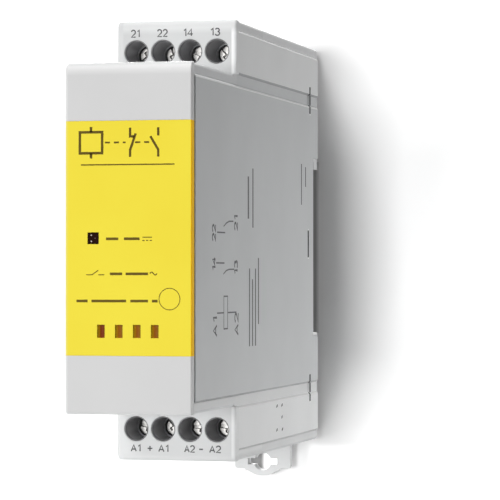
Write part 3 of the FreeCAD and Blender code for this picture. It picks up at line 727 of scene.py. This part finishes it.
# Front cover: the light grey cap of the hood above and below the face plate, moulded like the
# body, pushed over the spigot of the shell and held by its own spring.
cover_low, cover_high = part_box("front_cover")
# Painted light: the rounded top edge of the cap is painted lighter, a painted highlight, with the
# roof beyond it back to grey, and its left edge is a painted highlight too.
roof_turn, roof_turn_painted_highlight = 0.0582, (236, 236, 236)
roof_reach, roof_grey = 0.0597, (212, 212, 212)
left_side_reach, left_side_painted_highlight = 0.0219, (228, 228, 228)
painted_highlight_zones = [
    beyond("Z", cover_low.z, roof_turn, 0.0012, roof_turn_painted_highlight),
    beyond("Z", cover_low.z, roof_reach, 0.0006, roof_grey),
    beyond("X", cover_high.x, left_side_reach, 0.0004, left_side_painted_highlight),
]
dress(moulded("front cover grey", (213, 213, 213), drift=2, zones=painted_highlight_zones), "front_cover")


# Face plate: a yellow polycarbonate plate that wraps round the sides of the cap. Its side edges
# are painted a deep amber with a painted glow, for the shaded edge lit through the plate, and its
# left edge is painted paler, a painted highlight. The marks are printed in dark olive: the circuit
# symbol as a heading, a rule, and rows of plain bars with the supply and contact symbols.
pale_yellow_painted_highlight, deep_yellow_painted_edge = (244, 234, 120), (255, 188, 0)
plate_edge, plate_edge_soft = 0.01112, 0.00004
yellow_zones = [
    beyond("X", cover_high.x, left_side_reach, 0.0004, pale_yellow_painted_highlight),
    beyond("X", 0.0, plate_edge, plate_edge_soft, deep_yellow_painted_edge),
]
face_yellow = moulded(
    "face yellow", (255, 234, 72), rough=(0.42, 0.54), zones=yellow_zones, shine=0.03
)


def painted_edge_glow(finish, colour, strength):
    """A painted glow on the plate's side edges, past plate_edge, standing in for the light the
    plate leads there.
    """
    tree = finish.node_tree
    shader = tree.nodes["Principled BSDF"]
    across = ways(tree, tree.nodes["Texture Coordinate"].outputs["Object"])["X"]
    to_side, whole_edge = away_from(tree, across, 0.0), plate_edge + plate_edge_soft
    shader.inputs["Emission Color"].default_value = shown(*colour)
    glow = between(tree, to_side, 0.0, strength, plate_edge, whole_edge)
    tree.links.new(glow, shader.inputs["Emission Strength"])


painted_edge_glow(face_yellow, (255, 217, 30), strength=0.17)
dress(face_yellow, "face_plate")
face_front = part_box("face_plate")[0].y
olive_ink = print_ink("olive ink", (98, 80, 6), shine=0.15)
symbol_line, link_line, contact_line, rule_line = 0.45, 0.3, 0.42, 0.22
bar_line, sign_line, wave_line, ring_line = 0.46, 0.16, 0.18, 0.13
wave_left, wave_length, wave_z, wave_rise = 3.9, 1.3, -5.45, 0.24
wave_x = np.linspace(wave_left, wave_left + wave_length, curve_points)
wave_height = wave_z + wave_rise * np.sin((wave_x - wave_left) / wave_length * 2 * np.pi)
wave = np.stack([wave_x, wave_height], axis=1)
ring_middle, ring_radius = (7.4, -9.8), 1.85
ring_halves = [arc(*ring_middle, ring_radius, start, start + 180) for start in (0, 180)]
ring = np.vstack([ring_halves[0], ring_halves[1][1:]])
face_lines = [
    # Coil, link and the two guided contacts
    (
        [(-8.6, 17.0), (-8.6, 18.8), (-4.6, 18.8), (-4.6, 15.2), (-8.6, 15.2), (-8.6, 17.0)],
        symbol_line,
    ),
    ([(-6.6, 18.8), (-6.6, 19.7)], symbol_line),
    ([(-6.6, 15.2), (-6.6, 14.3)], symbol_line),
    ([(-4.1, 17.0), (-3.2, 17.0)], link_line),
    ([(-2.5, 17.0), (-1.6, 17.0)], link_line),
    ([(-0.9, 17.0), (-0.4, 17.0)], link_line),
    ([(1.3, 17.0), (2.2, 17.0)], link_line),
    ([(2.9, 17.0), (3.8, 17.0)], link_line),
    ([(0.4, 19.5), (0.4, 18.0), (1.2, 18.0)], contact_line),
    ([(0.4, 14.5), (0.4, 15.7), (1.4, 18.5)], contact_line),
    ([(5.4, 19.5), (5.4, 18.1)], contact_line),
    ([(5.4, 14.5), (5.4, 15.7), (4.0, 18.0)], contact_line),
    # Rule
    ([(-8.4, 13.2), (8.3, 13.2)], rule_line),
    # Supply row, with direct current
    ([(-3.9, 0.5), (-1.7, 0.5)], bar_line),
    ([(-0.7, 0.5), (2.1, 0.5)], bar_line),
    ([(2.6, 0.75), (4.3, 0.75)], sign_line),
    ([(2.6, 0.2), (3.0, 0.2)], sign_line),
    ([(3.25, 0.2), (3.65, 0.2)], sign_line),
    ([(3.9, 0.2), (4.3, 0.2)], sign_line),
    # Contact row, with a closing contact and alternating current
    ([(-7.45, -5.66), (-6.4, -5.66), (-5.3, -4.9)], sign_line),
    ([(-5.3, -5.66), (-4.2, -5.66)], sign_line),
    ([(-3.2, -5.5), (-1.0, -5.5)], bar_line),
    ([(-0.4, -5.5), (3.6, -5.5)], bar_line),
    (wave, wave_line),
    # Third row
    ([(-9.2, -10.15), (-7.2, -10.15)], bar_line),
    ([(-6.5, -10.15), (-0.3, -10.15)], bar_line),
    ([(0.45, -10.15), (3.6, -10.15)], bar_line),
    ([(4.3, -10.15), (5.3, -10.15)], bar_line),
    (ring, ring_line),
]
printed("face_marks", [stroke(*line) for line in face_lines], on_front(face_front), olive_ink)


# Slot shade: four brown strips just behind the row of slots, pressed into them from the back,
# each a little crowned. They are painted shade for the insides of the slots, painted olive at
# the left for the lit left wall of each slot.
def crowned_strip(name, x, z, width, height, finish):
    """A strip that bulges to the front by 0.08 mm times the cosine across its width."""
    setback, crown, columns, rows = 0.0005, 0.00008, 9, 5
    u = np.linspace(-1, 1, columns)[None, :]
    v = np.linspace(-1, 1, rows)[:, None]
    y = face_front + setback - crown * np.cos(u * np.pi / 2) + 0 * v
    points = np.stack([x + u * width / 2 + 0 * v, y, z + v * height / 2 + 0 * u], axis=-1)
    corner = np.arange(rows - 1)[:, None] * columns + np.arange(columns - 1)[None, :]
    corner = corner.reshape(-1, 1)
    quads = np.hstack([corner, corner + 1, corner + columns + 1, corner + columns])
    piece = new_piece(name, points, quads.tolist(), finish)
    wall = piece.modifiers.new("strip wall", "SOLIDIFY")
    wall.thickness = 0.0003
    wall.offset = -1.0
    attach(piece, "housing")


def slot_shade_brown(name, x, middle, right):
    """Painted shade for a slot: olive at the left edge for its lit left wall, then two browns
    across the slot.
    """
    left_edge, olive_width, middle_width = x - to_left_edge, 0.0001, 0.0008
    zones = [
        beyond("X", left_edge, olive_width, 0.0004, middle),
        beyond("X", left_edge, middle_width, 0.0005, right),
    ]
    return moulded(
        name, (156, 122, 8), drift=6, rough=(0.35, 0.5), edge=0.0, zones=zones, shine=0.05
    )


window_z, window_width, to_left_edge, window_height = -0.01535, 0.00137, 0.00068, 0.00227
red_browns, olive_browns = ((122, 50, 2), (118, 58, 3)), ((144, 83, 4), (136, 108, 6))
for window_number, x in enumerate((-0.0048, -0.0016, 0.0016, 0.0048), start=1):
    browns = red_browns if window_number == 1 else olive_browns
    brown = slot_shade_brown("slot window brown %d" % window_number, x, *browns)
    name = "slot_shade_sheet_%d" % window_number
    crowned_strip(name, x, window_z, window_width, window_height, brown)


# Light guide: a dark smoked acrylic rod behind the square window, a little behind the plate, with
# three small pips on its face, coloured pale as painted glints.
guide_dark = moulded("light guide dark", (34, 9, 3), rough=(0.2, 0.3), edge=0.0, shine=0.02)
dress(guide_dark, "led_lens")
guide_low, guide_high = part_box("led_lens")
pip_painted_glint = moulded("pip painted glint", (214, 202, 192), rough=(0.15, 0.25), edge=0.0)
pip_painted_faint_glint = moulded("pip painted faint_glint", (92, 66, 58), rough=(0.15, 0.25), edge=0.0)


def pip(name, x, z, size, finish):
    """A low dome to the front: rings whose radius follows the cosine and whose rise follows half
    the sine of an angle from 0 to 80 degrees. Its foot is sunk into the rod."""
    sunk, rings, columns = 0.00001, 6, 16
    rise = np.radians(np.linspace(0, 80, rings))[:, None]
    angle = np.linspace(0, 2 * np.pi, columns, endpoint=False)[None, :]
    r = size * np.cos(rise)
    y = guide_low.y + sunk - size * 0.5 * np.sin(rise) + 0 * angle
    dome = np.stack([x + r * np.cos(angle), y, z + r * np.sin(angle)], axis=-1)
    skin(name, dome, finish, "housing", closed=False)


guide_width = guide_high.x - guide_low.x
guide_height = guide_high.z - guide_low.z
for name, across, up, size, finish in [
    ("guide_pip_upper", 0.3, 0.79, 0.00013, pip_painted_glint),
    ("guide_pip_lower", 0.3, 0.2, 0.00013, pip_painted_glint),
    ("guide_pip_right", 0.68, 0.5, 0.00012, pip_painted_faint_glint),
]:
    pip(name, guide_low.x + across * guide_width, guide_low.z + up * guide_height, size, finish)


# Rail clip with its spring and stop: a grey moulded slider in the channel at the back, with a
# keyed eye for a screwdriver, held up by a steel compression spring on a small plated stop.
dress(moulded("clip grey", (226, 227, 227), drift=2), "rail_clip")
dress(plated_iron, "spring_stop")


def coiled_wire(low, high, wire, turns):
    """A round wire coiled upwards. Its height rises by the share of the turns passed, less 0.75
    over a full turn times the sine of that share of a full turn, so the end turns lie close
    together."""
    steps_a_turn, columns, closeness = 24, 10, 0.75
    share = np.linspace(0, 1, turns * steps_a_turn + 1)[:, None]
    around = np.linspace(0, 2 * np.pi, columns, endpoint=False)[None, :]
    turn = 2 * np.pi * turns * share
    height = share - closeness / (2 * np.pi) * np.sin(2 * np.pi * share)
    radius = (high.x - low.x) / 2 - wire + wire * np.cos(around)
    x, y = (low.x + high.x) / 2, (low.y + high.y) / 2
    z = low.z + wire + (high.z - low.z - 2 * wire) * height - wire * np.sin(around)
    return np.stack([x + radius * np.cos(turn), y + radius * np.sin(turn), z], axis=-1)


spring_low, spring_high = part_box("clip_spring")
spring_steel = metal("spring steel", (170, 170, 172), rough=(0.25, 0.35), edge=0.0)
dress(spring_steel, "clip_spring")
wire_radius, spring_turns = 0.00025, 7
spring_rings = coiled_wire(spring_low, spring_high, wire_radius, spring_turns)
clip_spring_coil = skin("clip_spring_coil", spring_rings, spring_steel, "housing", closed=False)
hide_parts("clip_spring")
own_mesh(clip_spring_coil)


# Camera: a long lens in front, to the right of the module and at about its middle, so that the
# front and the right side show and upright lines stay almost upright.
view = bpy.data.cameras.new("camera")
view.lens = 190.15
view.sensor_width = 36.0
camera = bpy.data.objects.new("camera", view)
camera.location = (0.1295, -0.5286, -0.0056)
camera.rotation_euler = (math.radians(90.53), 0.0, math.radians(14.0))
bpy.context.scene.collection.objects.link(camera)
bpy.context.scene.camera = camera


# Lamps: soft boxes round the module. The two called behind stand behind the table's plane, so
# that they light the side cover and leave the shadow on the table alone.
def soft_box(name, place, target, width, power, height=None):
    """A flat lamp at a place, turned to a target, and square if it has no height. It gives its
    lamp, for other settings."""
    lamp = bpy.data.lights.new(name, "AREA")
    lamp.shape = "RECTANGLE"
    lamp.size = width
    lamp.size_y = height or width
    lamp.energy = power
    holder = bpy.data.objects.new(name, lamp)
    holder.location = place
    way = np.array(target) - np.array(place)
    tilt = math.atan2(math.hypot(way[0], way[1]), -way[2])
    holder.rotation_euler = (tilt, 0.0, math.atan2(way[1], way[0]) - math.pi / 2)
    holder.visible_camera = False
    bpy.context.scene.collection.objects.link(holder)
    return lamp


soft_box("key", (-0.28, -3.0, 0.0), (0, 0, 0), width=0.42, power=44.5, height=0.5)
soft_box("low front", (-0.03, -0.092, -0.13), (0, -0.065, -0.036), width=0.05, power=0.058)
soft_box("high front", (-0.35, -2.2, 1.2), (0, -0.06, 0), width=0.5, power=17.5)
soft_box("top", (-0.2, -0.25, 1.3), (0, -0.08, 0), width=0.4, power=1.3)
soft_box("top right", (0.022, 0.01, 0.45), (0.011, -0.05, 0), width=0.04, power=0.85)
soft_box("left", (-1.2, -0.14, 0.15), (0, -0.05, 0), width=0.5, power=4.0)
soft_box("low right", (0.08, -0.085, -0.055), (0.011, -0.05, -0.035), width=0.03, power=0.0053)
soft_box("low right behind", (0.12, 0.035, -0.06), (0.011, -0.03, -0.02), width=0.04, power=0.056)
soft_box("right behind", (0.6, 0.15, -0.1), (0.011, -0.05, 0), width=0.4, power=0.58)
# The lamp at the back lights what it meets, and no light goes on from there to the table.
back_lamp = soft_box("back", (-0.4, 1.5, 0.7), (0, 0, 0), width=0.6, power=20.0)
back_lamp.cycles.max_bounces = 0


# Room: plain white where it is looked at or mirrored, and a soft grey light otherwise, a little
# more from below than from above.
world = bpy.data.worlds.new("room")
bpy.context.scene.world = world
world.use_nodes = True
sky = world.node_tree
room = sky.nodes["Background"]
room.inputs["Color"].default_value = (1.0, 1.0, 1.0, 1.0)
path = sky.nodes.new("ShaderNodeLightPath")
looks = [path.outputs["Is %s Ray" % kind] for kind in ("Camera", "Glossy", "Transmission")]
looked_at = sums(sky, "MAXIMUM", *looks)
upwards = ways(sky, sky.nodes.new("ShaderNodeTexCoord").outputs["Generated"])["Z"]
from_below, from_above = 0.15, 0.05
soft = between(sky, upwards, from_below, from_above, -1.0, 1.0)
sky.links.new(sums(sky, "MAXIMUM", looked_at, soft), room.inputs["Strength"])


# Table: the white sheet a little behind the module, on which its shadow falls. A painted glow
# makes it plain white away from the module and behind the eye of the clip, and painted shadow
# greys it where it shows through the rail recess and the slot of the eye. From the back it isn't
# there.
far, table_y = 2.0, 0.0062
sheet_corners = [(-far, -far), (far, -far), (far, far), (-far, far)]
sheet_points = np.array([(x, table_y, z) for x, z in sheet_corners])
paper = bpy.data.materials.new("table white")
backdrop = new_piece("table", sheet_points, [(0, 1, 2, 3)], paper)
paper.use_nodes = True
sheet = paper.node_tree
sheet.nodes.clear()
look = sheet.nodes.new("ShaderNodeLightPath")
facing = sheet.nodes.new("ShaderNodeNewGeometry")
from_front = sums(sheet, "SUBTRACT", look.outputs["Is Camera Ray"], facing.outputs["Backfacing"])
from_front = sums(sheet, "MAXIMUM", from_front, 0.0)
white = sheet.nodes.new("ShaderNodeBsdfDiffuse")
glow = sheet.nodes.new("ShaderNodeEmission")
spot = ways(sheet, sheet.nodes.new("ShaderNodeTexCoord").outputs["Object"])
right, up = spot["X"], spot["Z"]
recess_z, eye_z, eye_slot_x, opening_x = -0.0015, -0.0443, -0.0027, 0.005
from_eye = away_from(sheet, up, eye_z)
# Painted glow, which makes the sheet white round the shadow, under the module beside the clip,
# beside the rail recess and behind the eye of the clip
full_glow, recess_glow, eye_glow = 0.4, 0.26, 0.8
under_module = between(sheet, up, full_glow, 0.0, -0.0415, -0.0395)
off_recess = between(sheet, away_from(sheet, up, recess_z), 0.0, recess_glow, 0.017, 0.041)
in_eye = between(sheet, from_eye, eye_glow, 0.0, 0.0018, 0.0021)
left_of_eye_end = between(sheet, right, 1.0, 0.0, 0.0028, 0.0031)
right_of_eye_start = between(sheet, right, 0.0, 1.0, -0.0015, -0.0004)
glows = [
    between(sheet, right, 0.02, full_glow, 0.035, 0.07),
    between(sheet, up, 0.0, full_glow, 0.0385, 0.0435),
    between(sheet, up, full_glow, 0.0, -0.056, -0.049),
    sums(sheet, "MULTIPLY", under_module, between(sheet, right, 0.0, 1.0, 0.0076, 0.0096)),
    sums(sheet, "MULTIPLY", off_recess, between(sheet, right, 0.55, 1.0, 0.0105, 0.0165)),
    sums(sheet, "MULTIPLY", in_eye, left_of_eye_end, right_of_eye_start),
]
sheet.links.new(sums(sheet, "MAXIMUM", *glows), glow.inputs["Strength"])
# Painted shadow: grey of the sheet where it shows through the rail recess and through the slot
# of the eye
sheet_white, recess_painted_shadow, eye_slot_painted_shadow = 0.98, 0.38, 0.25
from_opening, from_slot = away_from(sheet, right, opening_x), away_from(sheet, right, eye_slot_x)
in_recess = sums(
    sheet,
    "MAXIMUM",
    between(sheet, away_from(sheet, up, 0.0), 0.0, sheet_white, 0.0172, 0.0178),
    between(sheet, from_opening, recess_painted_shadow, sheet_white, 0.0052, 0.006),
)
through_eye = sums(
    sheet,
    "MAXIMUM",
    between(sheet, from_eye, 0.0, sheet_white, 0.0019, 0.0022),
    between(sheet, from_slot, eye_slot_painted_shadow, sheet_white, 0.0012, 0.0024),
)
sheet.links.new(sums(sheet, "MINIMUM", in_recess, through_eye), white.inputs["Color"])
both = sheet.nodes.new("ShaderNodeAddShader")
sheet.links.new(white.outputs[0], both.inputs[0])
sheet.links.new(glow.outputs[0], both.inputs[1])
through = sheet.nodes.new("ShaderNodeBsdfTransparent")
choice = sheet.nodes.new("ShaderNodeMixShader")
sheet.links.new(from_front, choice.inputs[0])
sheet.links.new(through.outputs[0], choice.inputs[1])
sheet.links.new(both.outputs[0], choice.inputs[2])
end = sheet.nodes.new("ShaderNodeOutputMaterial")
sheet.links.new(choice.outputs[0], end.inputs["Surface"])

bpy.context.scene.view_settings.view_transform = "Standard"
